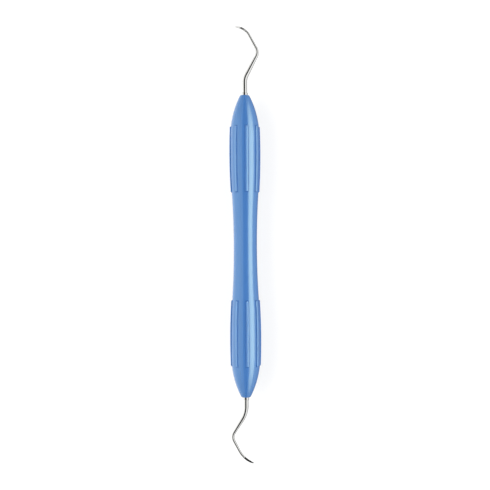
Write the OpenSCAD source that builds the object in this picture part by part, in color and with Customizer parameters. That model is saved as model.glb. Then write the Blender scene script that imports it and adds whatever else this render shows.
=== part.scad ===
// Double-ended dental scaler: a silicone handle moulded over a steel tube, with a socket in each
// end of the tube and a bent steel tip pressed into each socket. Each tip ends in a sickle blade.
// Lengths are in millimetres and angles in degrees. The instrument lies along X, on two neighbouring
// ribs of each barrel: Z = 0 is the surface that it rests on, and +X is the upper tip's end.

/* [Handle] */
// Length of the handle, between its flat ends
handle_l = 118; // [104:1:136]
// Diameter of the waist, half way along
waist_d = 9.1; // [8.6:0.1:11]
// Diameter of both barrels, between their ribs
barrel_d = 11.4; // [10.6:0.1:14]
// Length of the straight middle of each barrel
barrel_l = 7; // [2:0.5:12]
// Length of each rounded nose
nose_l = 16; // [13:0.5:20]
// Diameter at which the nose meets its flat end
nose_d = 3.6; // [3.4:0.1:4.6]
// Rounding of the edge of the flat end
nose_round = 0.4; // [0.1:0.05:0.5]
// Share of the flare from waist to barrel that curves inwards
flare_share = 0.58; // [0.3:0.01:0.7]

/* [Ribs] */
// Number of ribs around each barrel
rib_n = 8; // [6:1:12]
// Width of a rib at its crest
rib_w = 0.8; // [0.5:0.1:1.2]
// Height of a rib over the barrel
rib_h = 0.42; // [0.2:0.02:0.8]
// Crown of the crest, from its edges to its middle
rib_crown = 0.08; // [0.02:0.02:0.16]
// Slope of a rib's flanks and ends, from upright
rib_draft = 29; // [10:1:45]
// Length of a rib
rib_l = 25.8; // [16:0.2:30]
// Distance from the handle's end to the ribs
rib_back = 12.2; // [10:0.1:16]

/* [Core] */
// Outside diameter of the tube
tube_d = 7; // [6:0.1:7.4]
// Wall of the tube
tube_wall = 0.75; // [0.5:0.05:1]
// Distance from the handle's end to the tube's end
tube_back = 8; // [6:0.5:12]
// Length of a socket's spigot inside the tube
spigot_l = 12; // [8:0.5:20]
// Distance from the handle's end to the socket's face
face_back = 1.7; // [1.2:0.1:2.5]
// Silicone around the socket's face
face_wall = 0.6; // [0.4:0.05:0.8]
// Clearance all round the pressed joints
fit = 0.02; // [0.01:0.01:0.05]

/* [Tip roots] */
// Diameter of the tang that is pressed into the socket
tang_d = 2; // [1.6:0.1:2.2]
// Length of the tang
tang_l = 13; // [8:0.5:16]
// Number of grooves that key the tang
groove_n = 3; // [1:1:5]
// Width of a groove
groove_w = 0.8; // [0.4:0.1:1.2]
// Depth of a groove
groove_deep = 0.15; // [0.05:0.05:0.3]
// Diameter of the collar that seats on the socket
collar_d = 2.5; // [2.3:0.1:2.9]
// Height of the collar over the handle's end
collar_h = 1.1; // [0.5:0.1:2]
// Bevel of the collar's edge and the tang's end
root_bevel = 0.2; // [0.05:0.05:0.3]

/* [Shanks and blades] */
// Diameter of the shank above the collar
shank_d = 2; // [1.6:0.05:2.2]
// Diameter of the shank after its second bend
neck_d = 1.15; // [0.9:0.05:1.5]
// Diameter of the shank where the blade begins
heel_d = 0.95; // [0.8:0.05:1.2]
// Length of the blade along its curve
blade_l = 5.6; // [3:0.1:7]
// Depth of the blade, from its flat face to its back
blade_deep = 0.75; // [0.5:0.05:0.8]
// Width of the flat face, between its cutting edges
blade_w = 0.65; // [0.6:0.05:0.9]
// Angle of a cutting edge, between the face and a side
edge_a = 75; // [75:1:85]
// Length over which the round shank becomes the blade
heel_l = 0.7; // [0.5:0.1:2.5]
// Turn of the tips about the handle, up from level
tip_roll = 15.5; // [-20:0.5:20]

/* [Upper tip] */
// Straight run out of the handle
upper_root_l = 5.1; // [2:0.1:8]
// Bend away from the axis
upper_away = 28; // [10:1:40]
// Radius of that bend
upper_away_r = 6; // [3:0.1:12]
// Straight run between the bends
upper_reach_l = 8.2; // [4:0.1:12]
// Bend back across the axis
upper_return = 56; // [30:1:75]
// Radius of that bend
upper_return_r = 3.6; // [2:0.1:6]
// Straight run up to the hook
upper_neck_l = 5.7; // [2:0.1:9]
// Sweep of the hook
upper_hook = 65; // [35:1:75]
// Radius of the hook
upper_hook_r = 6.3; // [5.6:0.1:14]

/* [Lower tip] */
// Straight run out of the handle
lower_root_l = 3.5; // [2:0.1:8]
// Bend away from the axis
lower_away = 32; // [10:1:40]
// Radius of that bend
lower_away_r = 10; // [3:0.1:12]
// Straight run between the bends
lower_reach_l = 5.9; // [4:0.1:12]
// Bend back across the axis
lower_return = 60; // [30:1:75]
// Radius of that bend
lower_return_r = 3.4; // [2:0.1:6]
// Straight run up to the hook
lower_neck_l = 4.3; // [2:0.1:9]
// Sweep of the hook
lower_hook = 44; // [35:1:75]
// Radius of the hook
lower_hook_r = 10.3; // [5.6:0.1:14]

/* [Hidden] */
$fn = 120;

silicone = "#4f80c4";
tube_steel = "#9aa0a6";
socket_steel = "#878d94";
polished_steel = "#d3d7db";

// Handle's outline: waist arc, shoulder arc, straight barrel, nose arc
half_l = handle_l / 2;
waist_r = waist_d / 2;
barrel_r = barrel_d / 2;
nose_z = half_l - nose_l;
barrel_z = nose_z - barrel_l;
flare_a = 2 * atan((barrel_r - waist_r) / barrel_z);
waist_arc_r = flare_share * barrel_z / sin(flare_a);
shoulder_arc_r = (1 - flare_share) * barrel_z / sin(flare_a);
flare_z = flare_share * barrel_z;
nose_drop = barrel_r - nose_d / 2;
nose_arc_r = (nose_l ^ 2 + nose_drop ^ 2) / (2 * nose_drop);

// Centre of the rounding between the nose arc and the flat end
round_z = half_l - nose_round;
round_r = barrel_r - nose_arc_r + sqrt((nose_arc_r - nose_round) ^ 2 - (round_z - nose_z) ^ 2);
round_a = asin((round_z - nose_z) / (nose_arc_r - nose_round));

// Strips of the handle's outline
flare_n = 9;
nose_n = 10;
round_n = 4;

// Ribs: their ends, how deep they root in the barrel, and half the points across a crest
rib_turn = 360 / rib_n;
rib_root = 0.5;
rib_z = half_l - rib_back - rib_l;
rib_end_z = rib_z + rib_l;
crest_n = 2;

// Arc along the crests, through their two ends and their middle
crest_first = [handle_r(rib_z) + rib_h, rib_z];
crest_middle = [handle_r(rib_z + rib_l / 2) + rib_h, rib_z + rib_l / 2];
crest_last = [handle_r(rib_end_z) + rib_h, rib_end_z];
crest_chord = crest_last - crest_first;
crest_half = norm(crest_chord) / 2;
crest_out = [crest_chord[1], -crest_chord[0]] / norm(crest_chord);
crest_bow = (crest_middle - crest_first) * crest_out;
crest_arc_r = norm(crest_middle - crest_first) * norm(crest_last - crest_middle) / (2 * crest_bow);
crest_centre = (crest_first + crest_last) / 2 - crest_out * sqrt(crest_arc_r ^ 2 - crest_half ^ 2);
crest_fn = 1440;

// Height at which the crests carry the handle's axis
rest_z = max([for (p = crest_points())
    (crest_centre[0] + p[0]) * cos(rib_turn / 2) + p[1] * sin(rib_turn / 2)]);

// Core: the tube, and the cone from its end to the socket's face
tube_r = tube_d / 2;
tube_z = half_l - tube_back;
face_z = half_l - face_back;
face_r = handle_r(face_z) - face_wall;
spigot_r = tube_r - tube_wall - fit;
spigot_z = tube_z - spigot_l;
collar_r = collar_d / 2;
tang_r = tang_d / 2;
bore_r = tang_r + fit;
bore_spare = 0.5;
bore_z = face_z - tang_l - bore_spare;
drill_a = 30;

// Blade's section: its corners, and the points from each corner to the next
back_w = blade_w - 2 * blade_deep * tan(90 - edge_a);
blade_corners = [
    [blade_deep / 2, blade_w / 2], [-blade_deep / 2, back_w / 2],
    [-blade_deep / 2, -back_w / 2], [blade_deep / 2, -blade_w / 2]
];
blade_steps = [7, 4, 7, 6];
blade_power = 3;

// Tips: points round a shank, which start at the blade's first corner, and steps along a bend
side_n = len(blade_points());
side_a = 180 / side_n * blade_steps[3];
bend_step = 0.3;

upper_legs = [
    [upper_root_l, upper_away, upper_away_r],
    [upper_reach_l, -upper_return, upper_return_r],
    [upper_neck_l, -upper_hook, upper_hook_r]
];
lower_legs = [
    [lower_root_l, lower_away, lower_away_r],
    [lower_reach_l, -lower_return, lower_return_r],
    [lower_neck_l, -lower_hook, lower_hook_r]
];

// Radius of the handle at a height along its axis, without ribs
function handle_r(z) =
    let (a = abs(z))
    a < flare_z ? waist_r + waist_arc_r - sqrt(waist_arc_r ^ 2 - a ^ 2) :
    a < barrel_z ? barrel_r - shoulder_arc_r + sqrt(shoulder_arc_r ^ 2 - (barrel_z - a) ^ 2) :
    a < nose_z ? barrel_r :
    barrel_r - nose_arc_r + sqrt(nose_arc_r ^ 2 - (a - nose_z) ^ 2);

// Outline of one half of the handle, from its waist to its flat end
function half_outline() = concat(
    [for (i = [0:flare_n]) let (z = barrel_z * i / flare_n) [handle_r(z), z]],
    [for (i = [0:nose_n]) let (z = nose_z + nose_arc_r * sin(round_a * i / nose_n)) [handle_r(z), z]],
    [for (i = [1:round_n]) let (a = round_a + (90 - round_a) * i / round_n)
        [round_r + nose_round * cos(a), round_z + nose_round * sin(a)]]
);

// Outline of one half of the core, which the silicone is moulded over
function half_core() = [
    [tube_r, 0], [tube_r, tube_z], [face_r, face_z], [collar_r, face_z], [collar_r, half_l]
];

function turned_over(points) = [for (i = [len(points) - 1:-1:0]) [points[i][0], -points[i][1]]];

// Points across a crest: distance from the centre of the crests' arc, and place across the rib
function crest_points() = [for (i = [-crest_n:crest_n])
    [crest_arc_r - rib_crown * (i / crest_n) ^ 2, rib_w / 2 * i / crest_n]];

// Moves along a leg of a tip: its straight run, then its bend in equal chords
function leg_moves(leg) =
    let (n = ceil(bend_l(leg) / bend_step), turn = leg[1] / n)
    concat([[leg[0], 0]], [for (i = [1:n]) [2 * leg[2] * sin(abs(turn) / 2), turn]]);

function bend_l(leg) = leg[2] * abs(leg[1]) * PI / 180;

// Stations along a tip: distance, place away from and along the axis, and heading
function stations(moves, i = 0, run = 0, away = 0, along = 0, heading = 0) =
    let (here = [[run, away, along, heading]])
    i == len(moves) ? here :
    let (chord = moves[i][0], turn = moves[i][1], course = heading + turn / 2)
    concat(here, stations(moves, i + 1, run + chord, away + chord * sin(course),
        along + chord * cos(course), heading + turn));

// Distance along a tip to the end of its second bend
function neck_run(legs) = legs[0][0] + bend_l(legs[0]) + legs[1][0] + bend_l(legs[1]);

// Radius of the round shank at a distance along the tip
function shank_r(run, legs, heel) =
    lookup(run, [[legs[0][0], shank_d / 2], [neck_run(legs), neck_d / 2], [heel, heel_d / 2]]);

// Points round the blade's section, from the first corner
function blade_points() = [for (i = [0:len(blade_corners) - 1])
    let (here = blade_corners[i], next = blade_corners[(i + 1) % len(blade_corners)])
    for (j = [0:blade_steps[i] - 1]) here + (next - here) * j / blade_steps[i]];

// Section of a tip: round on the shank, then four-sided with its flat face inside the hook
function section(run, legs, heel) =
    let (
        thin = 1 - (max(run - heel, 0) / blade_l) ^ blade_power,
        ease = min(max((run - heel) / heel_l, 0), 1),
        mix = ease * ease * (3 - 2 * ease),
        r = shank_r(run, legs, heel),
        blade = blade_points()
    )
    [for (k = [0:side_n - 1]) let (a = side_a + 360 * k / side_n)
        thin * ((1 - mix) * r * [cos(a), sin(a)] + mix * blade[k])];

// Point of a section, set square to the tip at its station
function set_out(station, point) = [
    station[1] - point[0] * cos(station[3]),
    point[1],
    station[2] + point[0] * sin(station[3])
];

// Lays the instrument down along X, on its ribs
module laid_down() {
    translate([0, 0, rest_z]) rotate([0, 90, 0]) children();
}

// Turns a piece of one end about the axis, and over for the lower end
module at_end(upper) {
    laid_down() rotate([0, 0, tip_roll - 90]) rotate([0, upper ? 0 : 180, 0]) children();
}

// Rib that bends along the crests' arc, with its flanks sloping down into the barrel
module rib_bar() {
    deep = rib_h + rib_root;
    spread = rib_w / 2 + deep * tan(rib_draft);
    first_a = asin((rib_z - rib_root - crest_centre[1]) / crest_arc_r);
    last_a = asin((rib_end_z + rib_root - crest_centre[1]) / crest_arc_r);
    translate([crest_centre[0], 0, crest_centre[1]]) rotate([90, 0, 0]) rotate([0, 0, first_a])
        rotate_extrude(angle = last_a - first_a, $fn = crest_fn)
            polygon(concat(
                [[crest_arc_r - rib_crown - deep, -spread]],
                crest_points(),
                [[crest_arc_r - rib_crown - deep, spread]]
            ));
}

// Ring that gives the ribs their sloping ends
module rib_ends() {
    slope = tan(rib_draft);
    over = crest_arc_r + crest_centre[0] + rib_root;
    under = waist_r - rib_root;
    rotate_extrude()
        polygon([
            [under, rib_z - (crest_first[0] - rib_h - under) * slope],
            [over, rib_z + (over - crest_first[0] + rib_h) * slope],
            [over, rib_end_z - (over - crest_last[0] + rib_h) * slope],
            [under, rib_end_z + (crest_last[0] - rib_h - under) * slope]
        ]);
}

module ribs() {
    intersection() {
        for (k = [0:rib_n - 1]) rotate([0, 0, rib_turn * (k + 0.5)]) rib_bar();
        rib_ends();
    }
}

module grip_sleeve() {
    color(silicone) laid_down() {
        rotate_extrude() {
            polygon(concat(
                turned_over(half_outline()), [for (i = [1:len(half_outline()) - 1]) half_outline()[i]],
                [for (i = [len(half_core()) - 1:-1:1]) half_core()[i]],
                [for (i = [1:len(half_core()) - 1]) [half_core()[i][0], -half_core()[i][1]]]
            ));
        }
        ribs();
        mirror([0, 0, 1]) ribs();
    }
}

module core_tube() {
    bevel = tube_wall / 4;
    inner_r = tube_r - tube_wall;
    half = [[tube_r, tube_z], [inner_r + bevel, tube_z], [inner_r, tube_z - bevel]];
    color(tube_steel) laid_down() rotate_extrude() polygon(concat(half, turned_over(half)));
}

module socket(upper) {
    bevel = root_bevel;
    color(socket_steel) at_end(upper) rotate_extrude()
        polygon([
            [0, spigot_z], [spigot_r - bevel, spigot_z], [spigot_r, spigot_z + bevel],
            [spigot_r, tube_z], [tube_r, tube_z], [face_r, face_z],
            [bore_r, face_z], [bore_r, bore_z], [0, bore_z - bore_r * tan(drill_a)]
        ]);
}

module tang_and_collar() {
    pitch = tang_l / (groove_n + 1);
    tang_z = face_z - tang_l;
    rotate_extrude()
        polygon(concat(
            [[0, tang_z], [tang_r - root_bevel, tang_z], [tang_r, tang_z + root_bevel]],
            [for (k = [1:groove_n], corner = [[-1, 0], [-1, 1], [1, 1], [1, 0]])
                [tang_r - corner[1] * groove_deep, tang_z + pitch * k + corner[0] * groove_w / 2]],
            [[tang_r, face_z], [collar_r, face_z], [collar_r, half_l + collar_h - root_bevel],
                [collar_r - root_bevel, half_l + collar_h], [0, half_l + collar_h]]
        ));
}

// Shank and blade in one sweep, from inside the collar to the point
module bent_shank(legs) {
    moves = [for (leg = legs, move = leg_moves(leg)) move];
    path = stations(moves);
    last = len(path) - 1;
    heel = path[last][0] - blade_l;
    rings = [for (i = [0:last - 1]) for (p = section(path[i][0], legs, heel)) set_out(path[i], p)];
    tip = set_out(path[last], [0, 0]);
    polyhedron(
        points = concat(rings, [tip]),
        faces = concat(
            [[for (k = [side_n - 1:-1:0]) k]],
            [for (i = [0:last - 2], k = [0:side_n - 1], half = [0, 1])
                let (a = i * side_n + k, b = i * side_n + (k + 1) % side_n)
                half == 0 ? [a, b, a + side_n] : [b, b + side_n, a + side_n]],
            [for (k = [0:side_n - 1]) let (a = (last - 1) * side_n)
                [a + k, a + (k + 1) % side_n, last * side_n]]
        )
    );
}

module tip(upper) {
    color(polished_steel) at_end(upper) {
        tang_and_collar();
        translate([0, 0, half_l]) bent_shank(upper ? upper_legs : lower_legs);
    }
}

module upper_socket() { socket(true); }
module lower_socket() { socket(false); }
module upper_tip() { tip(true); }
module lower_tip() { tip(false); }

grip_sleeve();
core_tube();
upper_socket();
lower_socket();
upper_tip();
lower_tip();
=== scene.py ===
from math import asin, atan, atan2, cos, degrees, hypot, pi, radians, sin, sqrt, tan

import bmesh
import bpy
from mathutils import Matrix, Vector


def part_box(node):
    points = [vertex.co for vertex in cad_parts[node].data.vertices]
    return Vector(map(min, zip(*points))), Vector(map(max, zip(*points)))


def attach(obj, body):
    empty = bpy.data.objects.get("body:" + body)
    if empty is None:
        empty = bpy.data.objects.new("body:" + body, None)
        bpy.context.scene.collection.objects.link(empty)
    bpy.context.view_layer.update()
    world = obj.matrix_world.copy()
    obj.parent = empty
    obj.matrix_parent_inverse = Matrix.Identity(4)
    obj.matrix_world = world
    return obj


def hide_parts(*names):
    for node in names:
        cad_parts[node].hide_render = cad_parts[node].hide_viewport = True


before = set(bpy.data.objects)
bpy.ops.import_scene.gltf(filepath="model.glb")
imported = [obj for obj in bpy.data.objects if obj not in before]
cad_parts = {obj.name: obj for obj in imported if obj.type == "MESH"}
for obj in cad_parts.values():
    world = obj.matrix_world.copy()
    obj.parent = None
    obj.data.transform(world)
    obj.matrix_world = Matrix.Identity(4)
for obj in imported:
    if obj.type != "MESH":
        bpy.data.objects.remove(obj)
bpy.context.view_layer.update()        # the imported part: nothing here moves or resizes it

mm = 0.001  # sizes below are in millimetres, and meshes are in metres
weld = 0.0005  # points closer than this become one

# places that the frame gives
sleeveLow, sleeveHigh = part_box("grip_sleeve")
tubeLow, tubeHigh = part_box("core_tube")
halfLength = (sleeveHigh.x - sleeveLow.x) / 2 / mm  # from the waist to each flat end
axisPoint = Vector((0, 0, (tubeLow.z + tubeHigh.z) / 2))  # middle of the handle's axis
tubeRadius = (tubeHigh.z - tubeLow.z) / 2 / mm
tubeEnd = tubeHigh.x / mm
tipRoll = radians(15.5)  # the tips' plane is turned this much about the axis, up from level
lengthways = Vector((1, 0, 0))
sideways = Vector((0, -cos(tipRoll), -sin(tipRoll)))  # the tips bend in this direction
squareOn = Vector((0, -sin(tipRoll), cos(tipRoll)))  # square to the tips' plane, towards the viewer


def linear(code):  # sRGB hex to linear colour
    parts = [int(code[i:i + 2], 16) / 255 for i in (1, 3, 5)]
    return [p / 12.92 if p <= 0.04045 else ((p + 0.055) / 1.055) ** 2.4 for p in parts] + [1]


def addNode(tree, kind, inputs={}, **settings):  # inputs are plain values, or sockets to link from
    node = tree.nodes.new(kind)
    for name, value in settings.items():
        setattr(node, name, value)
    for name, value in inputs.items():
        if isinstance(value, bpy.types.NodeSocket):
            tree.links.new(value, node.inputs[name])
        else:
            node.inputs[name].default_value = value
    return node


def addRamp(tree, value, stops):  # stops are places from 0 to 1 and linear colours
    ramp = addNode(tree, "ShaderNodeValToRGB", {"Fac": value})
    elements = ramp.color_ramp.elements
    while len(elements) < len(stops):
        elements.new(1.0)
    for element, (place, colour) in zip(elements, stops):
        element.position = place
        element.color = colour
    return ramp


def newMaterial(name):
    material = bpy.data.materials.new(name)
    material.use_nodes = True
    material.node_tree.nodes.clear()
    return material, material.node_tree


def finishPiece(bm, name, material, node, sharp):  # makes the bmesh a piece of the frame
    bmesh.ops.remove_doubles(bm, verts=bm.verts, dist=weld * mm)
    bmesh.ops.recalc_face_normals(bm, faces=bm.faces)
    for face in bm.faces:
        face.smooth = True
    mesh = bpy.data.meshes.new(name)
    bm.to_mesh(mesh)
    bm.free()
    mesh.set_sharp_from_angle(angle=radians(sharp))
    mesh.materials.append(material)
    piece = bpy.data.objects.new(name, mesh)
    bpy.context.scene.collection.objects.link(piece)
    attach(piece, "root")
    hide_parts(node)
    print("made", name, len(mesh.polygons), "faces")
    return piece


# camera, square on to the tips as in the photograph
view = dict(distance=335.0, halfWidth=95.9, offSide=-0.115, offLength=0.489, lean=0.262, sensor=36.0,
            nearest=10.0)


def makeCamera():
    target = axisPoint + (sideways * view["offSide"] + lengthways * view["offLength"]) * mm
    lean = radians(view["lean"])
    right = sideways * cos(lean) - lengthways * sin(lean)
    up = lengthways * cos(lean) + sideways * sin(lean)
    data = bpy.data.cameras.new("camera")
    data.sensor_width = view["sensor"]
    data.lens = view["sensor"] / 2 * view["distance"] / view["halfWidth"]
    data.clip_start = view["nearest"] * mm
    camera = bpy.data.objects.new("camera", data)
    turn = Matrix((right, up, squareOn)).transposed().to_4x4()
    camera.matrix_world = Matrix.Translation(target + squareOn * view["distance"] * mm) @ turn
    bpy.context.scene.collection.objects.link(camera)
    bpy.context.scene.camera = camera


makeCamera()
print("camera placed")

# silicone: moulded and post-cured, with clear highlights over a fine spark-eroded grain; a painted highlight
# makes it paler along the ribs' crests, and painted shade makes it deeper in the creases beside them
silicone = dict(colour="#477BBF", pale="#4B7FC3", grain=0.6, cloud=9.0, rough=0.18, spread=0.04,
                bump=0.01, bumpShare=0.5, glossTint="#E7FFDA")
# painted highlight along the ribs' crests and painted shade in the creases beside them
paintedRibLightAndShade = [(0.0, "#6594D0", 1), (0.3, "#6594D0", 1), (0.4, "#3A6BB0", 1), (0.6, "#3A6BB0", 1),
            (0.8, "#3F71B6", 0)]  # millimetres from a rib's middle line, colour there, and how much of it
ribGloss = [(0.0, 1.0), (0.34, 1.0), (0.42, 0.2), (0.6, 0.2), (0.76, 1.0)]  # reflection is turned down in the creases, as painted shade


def makeSilicone():
    material, tree = newMaterial("moulded_silicone")
    place = addNode(tree, "ShaderNodeTexCoord").outputs["Object"]
    cloud = addNode(tree, "ShaderNodeTexNoise", {"Vector": place, "Scale": 1 / (silicone["cloud"] * mm)})
    grain = addNode(tree, "ShaderNodeTexNoise",
                    {"Vector": place, "Scale": 1 / (silicone["grain"] * mm), "Detail": 3})
    plain = addNode(tree, "ShaderNodeMix",
                    {"Factor": cloud.outputs["Fac"], "A": linear(silicone["colour"]),
                     "B": linear(silicone["pale"])}, data_type="RGBA")
    fromRib = addNode(tree, "ShaderNodeAttribute", attribute_name="fromRib")
    # painted highlight on the rib crests and painted shade in their creases, by distance from each rib's
    # line
    paintedRibShading = addRamp(tree, fromRib.outputs["Fac"],
                   [(distance, linear(code)[:3] + [weight]) for distance, code, weight in paintedRibLightAndShade])
    colour = addNode(tree, "ShaderNodeMix",
                     {"Factor": paintedRibShading.outputs["Alpha"], "A": plain.outputs["Result"],
                      "B": paintedRibShading.outputs["Color"]}, data_type="RGBA")
    # the creases reflect less, which paints shade into them
    gloss = addRamp(tree, fromRib.outputs["Fac"],
                    [(distance, [level] * 3 + [1]) for distance, level in ribGloss])
    rough = addNode(tree, "ShaderNodeMapRange",
                    {"Value": grain.outputs["Fac"], "To Min": silicone["rough"] - silicone["spread"],
                     "To Max": silicone["rough"] + silicone["spread"]})
    bump = addNode(tree, "ShaderNodeBump",
                   {"Height": grain.outputs["Fac"], "Distance": silicone["bump"] * mm,
                    "Strength": silicone["bumpShare"]})
    surface = addNode(tree, "ShaderNodeBsdfPrincipled",
                      {"Base Color": colour.outputs["Result"], "Roughness": rough.outputs["Result"],
                       "IOR": 1.5, "Specular IOR Level": gloss.outputs["Color"],
                       "Specular Tint": linear(silicone["glossTint"]), "Normal": bump.outputs["Normal"]})
    addNode(tree, "ShaderNodeOutputMaterial", {"Surface": surface.outputs["BSDF"]})
    return material


# stainless steel, ground and mirror polished: fine marks along the instrument in a bright reflection,
# a little duller and greyer where the marks are deeper
tipSteel = dict(colour="#EDEDEB", dull="#D8D8D5", rough=0.06, spread=0.03, markWidth=0.25, markLength=6.0,
                bump=0.002, bumpShare=0.3)


def makeTipSteel():
    material, tree = newMaterial("polished_stainless")
    place = addNode(tree, "ShaderNodeTexCoord").outputs["Object"]
    across, along = 1 / (tipSteel["markWidth"] * mm), 1 / (tipSteel["markLength"] * mm)
    drawn = addNode(tree, "ShaderNodeMapping", {"Vector": place, "Scale": (along, across, across)})
    marks = addNode(tree, "ShaderNodeTexNoise", {"Vector": drawn.outputs["Vector"], "Scale": 1, "Detail": 2})
    rough = addNode(tree, "ShaderNodeMapRange",
                    {"Value": marks.outputs["Fac"], "To Min": tipSteel["rough"] - tipSteel["spread"],
                     "To Max": tipSteel["rough"] + tipSteel["spread"]})
    bump = addNode(tree, "ShaderNodeBump",
                   {"Height": marks.outputs["Fac"], "Distance": tipSteel["bump"] * mm,
                    "Strength": tipSteel["bumpShare"]})
    colour = addNode(tree, "ShaderNodeMix",
                     {"Factor": marks.outputs["Fac"], "A": linear(tipSteel["colour"]),
                      "B": linear(tipSteel["dull"])}, data_type="RGBA")
    surface = addNode(tree, "ShaderNodeBsdfPrincipled",
                      {"Base Color": colour.outputs["Result"], "Metallic": 1.0,
                       "Roughness": rough.outputs["Result"], "Normal": bump.outputs["Normal"]})
    addNode(tree, "ShaderNodeOutputMaterial", {"Surface": surface.outputs["BSDF"]})
    return material


# sleeve: an hourglass outline turned about the axis, with crowned ribs on both barrels
sleeve = dict(
    waist=9.1, barrel=11.4, barrelLength=7.0, noseLength=16.0, noseEnd=3.6, noseRound=0.4, flareShare=0.58,
    ribCount=8, ribCrest=0.8, ribHeight=0.42, ribCrown=0.08, ribDraft=29, ribEdge=0.1, ribRoot=0.12,
    ribFrom=21.0, ribTo=46.8, ribSpan=1.5, ribRows=14, ribSteps=44, flatSteps=6,
    faceBack=1.7, faceWall=0.6, collar=2.5,
    flareSteps=10, barrelSteps=3, noseSteps=16, roundSteps=6)


def carryOn(bm, point, steps, centre=(0, 0, 0), angle=0.0, move=(0, 0, 0)):  # the outline's next arc or line
    step = Vector(move) / steps
    done = bmesh.ops.spin(bm, geom=[point], cent=centre, axis=(0, 1, 0), dvec=step, angle=angle, steps=steps)
    return next(v for v in done["geom_last"] if isinstance(v, bmesh.types.BMVert))


def rounded(low, high, reach):  # the lower of two heights, eased over a reach where they cross
    near = max(reach - abs(low - high), 0) / reach
    return min(low, high) - near ** 2 * reach / 4


def ribLift(height, offLine, inEnd):  # lift at a distance from a rib's middle line, and inside its end
    s = sleeve
    half, slope = s["ribCrest"] / 2, 1 / tan(radians(s["ribDraft"]))
    crest = height - s["ribCrown"] * (offLine / half) ** 2
    flank = height - s["ribCrown"] - (offLine - half) * slope
    top = rounded(rounded(crest, flank, s["ribEdge"]), inEnd * slope, s["ribEdge"])
    return -rounded(-top, 0, s["ribRoot"])


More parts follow.
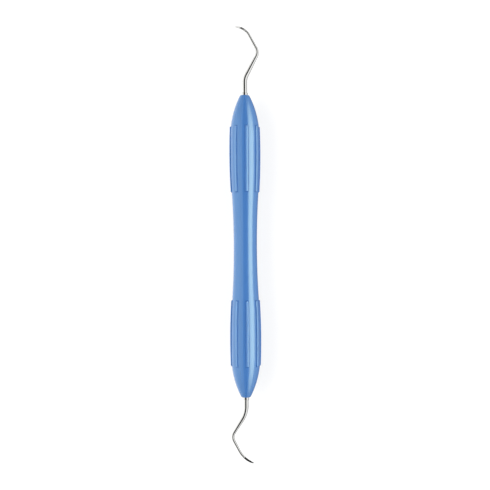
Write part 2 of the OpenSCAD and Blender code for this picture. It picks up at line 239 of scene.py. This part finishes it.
def makeSleeve():
    s = sleeve
    waistRadius, barrelRadius = s["waist"] / 2, s["barrel"] / 2
    noseStart = halfLength - s["noseLength"]
    barrelStart = noseStart - s["barrelLength"]
    flareAngle = 2 * atan((barrelRadius - waistRadius) / barrelStart)
    waistArc = s["flareShare"] * barrelStart / sin(flareAngle)
    shoulderArc = (1 - s["flareShare"]) * barrelStart / sin(flareAngle)
    noseDrop = barrelRadius - s["noseEnd"] / 2
    noseArc = (s["noseLength"] ** 2 + noseDrop ** 2) / (2 * noseDrop)
    roundAt = halfLength - s["noseRound"]
    roundRadius = barrelRadius - noseArc + sqrt((noseArc - s["noseRound"]) ** 2 - (roundAt - noseStart) ** 2)
    roundAngle = asin((roundAt - noseStart) / (noseArc - s["noseRound"]))
    faceAt = halfLength - s["faceBack"]
    faceRadius = barrelRadius - noseArc + sqrt(noseArc ** 2 - (faceAt - noseStart) ** 2) - s["faceWall"]
    collarRadius = s["collar"] / 2
    endReach = s["ribHeight"] * tan(radians(s["ribDraft"]))
    ribMiddle, ribHalf = (s["ribFrom"] + s["ribTo"]) / 2, (s["ribTo"] - s["ribFrom"]) / 2

    def bareRadius(place):  # radius of the ribbed stretch without its ribs
        shoulder = sqrt(shoulderArc ** 2 - min(place - barrelStart, 0) ** 2) - shoulderArc
        nose = sqrt(noseArc ** 2 - max(place - noseStart, 0) ** 2) - noseArc
        return barrelRadius + shoulder + nose

    ribPlaces = (s["ribFrom"], ribMiddle, s["ribTo"])
    first, middle, last = [bareRadius(place) + s["ribHeight"] for place in ribPlaces]

    def crestRadius(place):  # the crests' arc, through the ribs' height in the middle and at both ends
        share = (place - ribMiddle) / ribHalf
        return middle + (last - first) / 2 * share + ((first + last) / 2 - middle) * share ** 2

    # half of the outline, arc by arc from the waist to the flat end
    bm = bmesh.new()
    point = bm.verts.new((0, 0, waistRadius))
    point = carryOn(bm, point, s["flareSteps"], (0, 0, waistRadius + waistArc), -flareAngle)
    point = carryOn(bm, point, s["flareSteps"], (barrelStart, 0, barrelRadius - shoulderArc), flareAngle)
    point = carryOn(bm, point, s["barrelSteps"], move=(s["barrelLength"], 0, 0))
    point = carryOn(bm, point, s["noseSteps"], (noseStart, 0, barrelRadius - noseArc), roundAngle)
    point = carryOn(bm, point, s["roundSteps"], (roundAt, 0, roundRadius), pi / 2 - roundAngle)

    # closer points at the ribs' sloping ends
    for k in range(s["ribRows"] + 1):
        inside = 2 * endReach - 3 * endReach * k / s["ribRows"]
        for place in (s["ribFrom"] + inside, s["ribTo"] - inside):
            bmesh.ops.bisect_plane(bm, geom=bm.verts[:] + bm.edges[:], dist=weld,
                                   plane_co=(place, 0, 0), plane_no=(1, 0, 0))

    # back along the core, then the other half
    point = carryOn(bm, point, 1, move=(0, 0, collarRadius - roundRadius))
    point = carryOn(bm, point, 1, move=(-s["faceBack"], 0, 0))
    point = carryOn(bm, point, 1, move=(0, 0, faceRadius - collarRadius))
    point = carryOn(bm, point, 1, move=(tubeEnd - faceAt, 0, tubeRadius - faceRadius))
    point = carryOn(bm, point, 1, move=(-tubeEnd, 0, 0))
    bmesh.ops.mirror(bm, geom=bm.verts[:] + bm.edges[:], merge_dist=weld, axis="X")

    # the turn about the axis, in fine steps across each rib and longer ones between them
    ribTurn = 2 * pi / s["ribCount"]
    ribAngle = s["ribSpan"] / barrelRadius
    flatAngle = (ribTurn - ribAngle) / 2
    outline = bm.verts[:] + bm.edges[:]
    for angle, steps in [(flatAngle, s["flatSteps"]), (ribAngle, s["ribSteps"]),
                         (flatAngle, s["flatSteps"])] * s["ribCount"]:
        outline = bmesh.ops.spin(bm, geom=outline, cent=(0, 0, 0), axis=(1, 0, 0), angle=angle,
                                 steps=steps)["geom_last"]

    # ribs: each point of the outside lifts by its distance from the nearest rib's line
    fromRib = bm.verts.layers.float.new("fromRib")
    for v in bm.verts:
        v[fromRib] = 1.0
        radius = hypot(v.co.y, v.co.z)
        along = abs(v.co.x)
        inEnd = min(along - s["ribFrom"], s["ribTo"] - along)
        if radius < (tubeRadius + waistRadius) / 2 or inEnd < -1:
            continue
        offLine = abs(atan2(v.co.y, v.co.z) % ribTurn - ribTurn / 2) * radius
        lift = ribLift(crestRadius(along) - radius, offLine, inEnd)
        # this distance places the painted crest highlight and the painted crease shade
        v[fromRib] = min(max(offLine, s["ribCrest"] / 2 + endReach - inEnd), 1.0)
        v.co.yz = v.co.yz * (1 + lift / radius)

    bmesh.ops.scale(bm, vec=(mm, mm, mm), verts=bm.verts)
    bmesh.ops.translate(bm, vec=axisPoint, verts=bm.verts)
    return finishPiece(bm, "silicone_sleeve", makeSilicone(), "grip_sleeve", 60)


sleevePiece = makeSleeve()

# tips: a turned tang and collar, then a bent shank that tapers and becomes a four-sided hooked blade
tipSize = dict(
    sides=48, tang=2.0, tangLength=13.0, grooves=3, grooveWidth=0.8, grooveDeep=0.15,
    faceBack=sleeve["faceBack"], collar=sleeve["collar"], collarHeight=1.1, edge=0.2,
    shank=2.0, neck=1.15, heel=0.95, bladeDeep=0.75, bladeWidth=0.65, edgeAngle=72.5,
    pointAngle=66.7, heelLength=0.7, flats=0.15, pointPower=5, fine=6, step=0.1)
# each leg is a straight run, then a bend and its radius; the blade is measured from its heel to its point
upperBend = dict(legs=[(5.1, 28, 6.0), (8.2, -56, 3.6), (5.7, -65, 6.3)], blade=5.6)
lowerBend = dict(legs=[(3.5, 32, 10.0), (5.9, -60, 3.4), (4.3, -44, 10.3)], blade=4.9)


def turnedRoot():  # distance from the handle's end, and radius, of each ring of the tang and collar
    t = tipSize
    tang, collar, edge = t["tang"] / 2, t["collar"] / 2, t["edge"]
    back = -t["faceBack"] - t["tangLength"]
    pitch = t["tangLength"] / (t["grooves"] + 1)
    rings = [(back, tang - edge), (back + edge, tang)]
    for k in range(1, t["grooves"] + 1):
        for side, deep in ((-1, 0), (-1, 1), (1, 1), (1, 0)):
            rings.append((back + pitch * k + side * t["grooveWidth"] / 2, tang - deep * t["grooveDeep"]))
    rings += [(-t["faceBack"], tang), (-t["faceBack"], collar), (t["collarHeight"] - edge, collar)]
    for k in range(1, 5):
        angle = pi / 8 * k
        rings.append((t["collarHeight"] - edge + edge * sin(angle), collar - edge + edge * cos(angle)))
    return rings


def shankStations(legs):  # run, place away from and along the axis, and heading, of each ring
    run = away = along = heading = 0.0
    stations = []
    for straight, bend, radius in legs:
        turn = radians(bend)
        moves = [(straight / tipSize["fine"], 0.0)] * tipSize["fine"]
        steps = round(abs(turn) * radius / tipSize["step"])
        moves += [(2 * radius * sin(abs(turn) / steps / 2), turn / steps)] * steps
        for chord, part in moves:
            course = heading + part / 2
            run += chord
            away += chord * sin(course)
            along += chord * cos(course)
            heading += part
            stations.append((run, away, along, heading))
    return stations


def mixed(share, low, high):
    return low + (high - low) * min(max(share, 0), 1)


def shankShape(run, legs, heelRun):  # radius, and how far the round section has become the blade's
    t = tipSize
    straight = legs[0][0]
    neckRun = straight + sum(abs(radians(bend)) * radius for _, bend, radius in legs[:2]) + legs[1][0]
    if run < neckRun:
        return mixed((run - straight) / (neckRun - straight), t["shank"], t["neck"]) / 2, 0.0
    radius = mixed((run - neckRun) / (heelRun - neckRun), t["neck"], t["heel"]) / 2
    flats = mixed((run - neckRun) / (heelRun - neckRun) * 2, 0, t["flats"])  # ground on by the heel
    ease = mixed((run - heelRun) / t["heelLength"], 0, 1)
    return radius, mixed(ease * ease * (3 - 2 * ease), flats, 1)


def bladePoint(angle, share):  # point of the blade's section that an angle round the shank becomes
    t = tipSize
    half, front = t["bladeDeep"] / 2, t["bladeWidth"] / 2
    back = front - t["bladeDeep"] * tan(radians(90 - mixed(share, t["edgeAngle"], t["pointAngle"])))
    corners = [(-45, half, -front), (45, half, front), (150, -half, back), (210, -half, -back),
               (315, half, -front)]
    turn = (degrees(angle) + 45) % 360 - 45
    for here, there in zip(corners, corners[1:]):
        if turn <= there[0]:
            part = (turn - here[0]) / (there[0] - here[0])
            return mixed(part, here[1], there[1]), mixed(part, here[2], there[2])


def makeTip(name, node, bend, end):
    t = tipSize
    legs, bladeLength = bend["legs"], bend["blade"]
    bm = bmesh.new()
    bmesh.ops.create_circle(bm, cap_ends=True, segments=t["sides"], radius=1)
    around = bm.verts.layers.float.new("around")
    for v in bm.verts:
        v[around] = atan2(v.co.y, v.co.x)
    ring = dict(verts=bm.verts[:], edges=bm.edges[:])

    def nextRing():  # extrudes the last ring, still in place
        made = bmesh.ops.extrude_edge_only(bm, edges=ring["edges"])["geom"]
        ring["verts"] = [g for g in made if isinstance(g, bmesh.types.BMVert)]
        new = set(ring["verts"])
        ring["edges"] = [g for g in made if isinstance(g, bmesh.types.BMEdge) and new.issuperset(g.verts)]

    def setRing(away, along, heading, section):  # section gives a point from the angle around the ring
        for v in ring["verts"]:
            inward, across = section(v[around])
            v.co = (away - inward * cos(heading), across, along + inward * sin(heading))

    # the turned root
    for k, (along, radius) in enumerate(turnedRoot()):
        if k:
            nextRing()
        setRing(0, along, 0, lambda a: (radius * cos(a), radius * sin(a)))

    # the bent shank and the blade
    stations = shankStations(legs)
    heelRun = stations[-1][0] - bladeLength
    firstRun = t["collarHeight"]
    stations = [(firstRun, 0.0, firstRun, 0.0)] + [s for s in stations if s[0] > firstRun]
    for run, away, along, heading in stations:
        circle, blade = shankShape(run, legs, heelRun)
        onBlade = max(run - heelRun, 0) / bladeLength
        thin = 1 - onBlade ** t["pointPower"]

        def section(a):
            inward, across = bladePoint(a, onBlade)
            return thin * mixed(blade, circle * cos(a), inward), thin * mixed(blade, circle * sin(a), across)

        nextRing()
        setRing(away, along, heading, section)
    last = stations[-1]
    bmesh.ops.pointmerge(bm, verts=ring["verts"], merge_co=(last[1], 0, last[2]))

    # lay the tip along the axis, at its end of the handle
    turn = Matrix((sideways * end, lengthways.cross(sideways), lengthways * end)).transposed().to_4x4()
    place = Matrix.Translation(axisPoint + lengthways * end * halfLength * mm)
    bmesh.ops.transform(bm, matrix=place @ turn @ Matrix.Scale(mm, 4), verts=bm.verts)
    return finishPiece(bm, name, makeTipSteel(), node, 30)


tipPieces = [makeTip("upper_scaler_tip", "upper_tip", upperBend, 1),
             makeTip("lower_scaler_tip", "lower_tip", lowerBend, -1)]

# hidden steel: the drawn tube shows fine lines along it, and the turned sockets show fine rings
hiddenSteel = dict(tube=("#BEC0C2", "#A9ABAD"), socket=("#B5B7BA", "#A0A2A5"), rough=0.3, spread=0.08,
                   markWidth=0.3, markLength=12.0)


def makeHiddenSteel(name, codes, scale):  # codes are the bright colour and the one in the marks
    material, tree = newMaterial(name)
    place = addNode(tree, "ShaderNodeTexCoord").outputs["Object"]
    drawn = addNode(tree, "ShaderNodeMapping", {"Vector": place, "Scale": scale})
    marks = addNode(tree, "ShaderNodeTexNoise", {"Vector": drawn.outputs["Vector"], "Scale": 1, "Detail": 2})
    rough = addNode(tree, "ShaderNodeMapRange",
                    {"Value": marks.outputs["Fac"], "To Min": hiddenSteel["rough"] - hiddenSteel["spread"],
                     "To Max": hiddenSteel["rough"] + hiddenSteel["spread"]})
    colour = addNode(tree, "ShaderNodeMix",
                     {"Factor": marks.outputs["Fac"], "A": linear(codes[0]), "B": linear(codes[1])},
                     data_type="RGBA")
    surface = addNode(tree, "ShaderNodeBsdfPrincipled",
                      {"Base Color": colour.outputs["Result"], "Metallic": 1.0,
                       "Roughness": rough.outputs["Result"]})
    addNode(tree, "ShaderNodeOutputMaterial", {"Surface": surface.outputs["BSDF"]})
    return material


def dressHidden():
    fine, coarse = 1 / (hiddenSteel["markWidth"] * mm), 1 / (hiddenSteel["markLength"] * mm)
    tubeSteel = makeHiddenSteel("drawn_steel", hiddenSteel["tube"], (coarse, fine, fine))
    socketSteel = makeHiddenSteel("turned_steel", hiddenSteel["socket"], (fine, coarse, coarse))
    for node, material in (("core_tube", tubeSteel), ("upper_socket", socketSteel),
                           ("lower_socket", socketSteel)):
        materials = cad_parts[node].data.materials
        materials.clear()
        materials.append(material)


dressHidden()
print("hidden steel dressed")

# studio: a white floor, a softbox on the right and a paler wall on the left, with a dim gap round the camera
studio = dict(floor="#959595", floorGlow=0.77, ambient=0.36, brightest=1.6, endFade=0.6,
              floorHalf=3000, whiteFrom=200, whiteTo=800, floorMirror=1.2)
lamps = dict(softbox=(57, 4.9), fill=(-70, 4.3))  # degrees round the handle from the camera, and power
lampSize = dict(wide=640, long=900, away=600)
cards = [  # panels that only one material mirrors, and that light nothing
    dict(name="glare", on="silicone", turned=59.5, wide=650, long=1500, along=-50, power=4.7, spread=118),
    dict(name="wall", on="silicone", turned=-29.5, wide=180, long=3000, along=0, power=1.05, spread=149),
    dict(name="end_card", on="steel", turned=0, wide=840, long=1100, along=1480, power=2.6, spread=180)]
reflections = [  # degrees round the handle from the camera, and brightness there
    (-180, 0.05), (-165, 0.1), (-150, 0.4), (-138, 1.3), (-118, 1.5), (-100, 1.3), (-60, 1.1), (-42, 1.0),
    (-37, 0.03), (14, 0.03), (24, 0.35), (31, 1.3), (62, 1.3), (68, 0.5), (76, 0.5), (80, 1.0), (92, 0.7),
    (103, 0.4), (116, 0.15), (132, 0.05), (180, 0.05)]


def addPanels(tree, direction):  # what a shiny surface mirrors in a direction out from the handle
    side, front = [addNode(tree, "ShaderNodeVectorMath", {0: direction, 1: axis}, operation="DOT_PRODUCT")
                   for axis in (sideways, squareOn)]
    angle = addNode(tree, "ShaderNodeMath", {0: side.outputs["Value"], 1: front.outputs["Value"]},
                    operation="ARCTAN2")
    share = addNode(tree, "ShaderNodeMapRange",
                    {"Value": angle.outputs["Value"], "From Min": -pi, "From Max": pi})
    panels = addRamp(tree, share.outputs["Result"],
                     [((turned + 180) / 360, [level / studio["brightest"]] * 3 + [1])
                      for turned, level in reflections])
    return panels.outputs["Color"]


def makeFloor():
    bm = bmesh.new()
    bmesh.ops.create_grid(bm, x_segments=1, y_segments=1, size=studio["floorHalf"] * mm)
    mesh = bpy.data.meshes.new("floor")
    bm.to_mesh(mesh)
    bm.free()
    material, tree = newMaterial("floor_card")
    rays = addNode(tree, "ShaderNodeLightPath")
    seen = addNode(tree, "ShaderNodeMath",
                   {0: rays.outputs["Is Camera Ray"], 1: rays.outputs["Is Transmission Ray"]},
                   operation="MAXIMUM")
    place = addNode(tree, "ShaderNodeTexCoord").outputs["Object"]
    away = addNode(tree, "ShaderNodeVectorMath", {0: place}, operation="LENGTH")
    white = addNode(tree, "ShaderNodeMapRange",  # stays white where the lamps fall off
                    {"Value": away.outputs["Value"], "From Min": studio["whiteFrom"] * mm,
                     "From Max": studio["whiteTo"] * mm, "To Min": studio["floorGlow"], "To Max": 1.0})
    shown = addNode(tree, "ShaderNodeMath", {0: seen.outputs["Value"], 1: white.outputs["Result"]},
                    operation="MULTIPLY")
    # for shiny surfaces the floor glows in the world's panel pattern: painted light, with painted shade
    # under the object and close beside it on the right
    out = addNode(tree, "ShaderNodeVectorMath", {0: place, 1: axisPoint}, operation="SUBTRACT")
    mirrored = addNode(tree, "ShaderNodeMath",  # a little less than the world shows, as the floor is lit too
                       {0: addPanels(tree, out.outputs["Vector"]), 1: studio["floorMirror"]},
                       operation="MULTIPLY")
    glow = addNode(tree, "ShaderNodeMath",
                   {0: rays.outputs["Is Glossy Ray"], 1: mirrored.outputs["Value"],
                    2: shown.outputs["Value"]}, operation="MULTIPLY_ADD")
    card = addNode(tree, "ShaderNodeBsdfDiffuse", {"Color": linear(studio["floor"])})
    light = addNode(tree, "ShaderNodeEmission", {"Strength": glow.outputs["Value"]})
    both = addNode(tree, "ShaderNodeAddShader", {0: card.outputs["BSDF"], 1: light.outputs["Emission"]})
    addNode(tree, "ShaderNodeOutputMaterial", {"Surface": both.outputs["Shader"]})
    mesh.materials.append(material)
    floor = bpy.data.objects.new("floor", mesh)
    bpy.context.scene.collection.objects.link(floor)


def makeLamp(name, turned, power, wide, long, along=0):
    data = bpy.data.lights.new(name, "AREA")
    data.shape = "RECTANGLE"
    data.size = long * mm
    data.size_y = wide * mm
    data.energy = power
    angle = radians(turned)
    out = squareOn * cos(angle) + sideways * sin(angle)
    lamp = bpy.data.objects.new(name, data)
    turn = Matrix((lengthways, out.cross(lengthways), out)).transposed().to_4x4()
    place = axisPoint + (out * lampSize["away"] + lengthways * along) * mm
    lamp.matrix_world = Matrix.Translation(place) @ turn
    lamp.visible_camera = False
    bpy.context.scene.collection.objects.link(lamp)
    return lamp


def makeLamps():
    mirrors = {}
    for name, pieces in (("silicone", [sleevePiece]), ("steel", tipPieces)):
        mirrors[name] = bpy.data.collections.new("mirrors_on_" + name)
        for piece in pieces:
            mirrors[name].objects.link(piece)
    for name, (turned, power) in lamps.items():
        lamp = makeLamp(name, turned, power, lampSize["wide"], lampSize["long"])
        lamp.visible_glossy = False  # the world shows these panels to shiny surfaces

    for c in cards:
        card = makeLamp(c["name"], c["turned"], c["power"], c["wide"], c["long"], c["along"])
        card.data.spread = radians(c["spread"])  # fades towards both ends
        card.visible_diffuse = False
        card.light_linking.receiver_collection = mirrors[c["on"]]
        card.light_linking.blocker_collection = mirrors[c["on"]]


def makeWorld():
    world = bpy.data.worlds.new("studio")
    bpy.context.scene.world = world
    world.use_nodes = True
    tree = world.node_tree
    tree.nodes.clear()
    direction = addNode(tree, "ShaderNodeTexCoord").outputs["Generated"]
    along = addNode(tree, "ShaderNodeVectorMath", {0: direction, 1: lengthways}, operation="DOT_PRODUCT")
    outward = addNode(tree, "ShaderNodeMath", {0: along.outputs["Value"], 1: 2.0}, operation="POWER")
    fade = addNode(tree, "ShaderNodeMapRange",
                   {"Value": outward.outputs["Value"], "To Min": studio["brightest"],
                    "To Max": studio["brightest"] * (1 - studio["endFade"])})
    mirrorLevel = addNode(tree, "ShaderNodeMath", {0: addPanels(tree, direction), 1: fade.outputs["Result"]},
                          operation="MULTIPLY")
    rays = addNode(tree, "ShaderNodeLightPath")
    seen = addNode(tree, "ShaderNodeMath",
                   {0: rays.outputs["Is Camera Ray"], 1: rays.outputs["Is Transmission Ray"]},
                   operation="MAXIMUM")
    first = addNode(tree, "ShaderNodeMix",
                    {"Factor": rays.outputs["Is Glossy Ray"], "A": studio["ambient"],
                     "B": mirrorLevel.outputs["Value"]})
    level = addNode(tree, "ShaderNodeMix",
                    {"Factor": seen.outputs["Value"], "A": first.outputs["Result"], "B": 1.0})
    back = addNode(tree, "ShaderNodeBackground",
                   {"Color": (1, 1, 1, 1), "Strength": level.outputs["Result"]})
    addNode(tree, "ShaderNodeOutputWorld", {"Surface": back.outputs["Background"]})


makeFloor()
makeLamps()
makeWorld()
bpy.context.scene.view_settings.view_transform = "Standard"
print("studio lit")
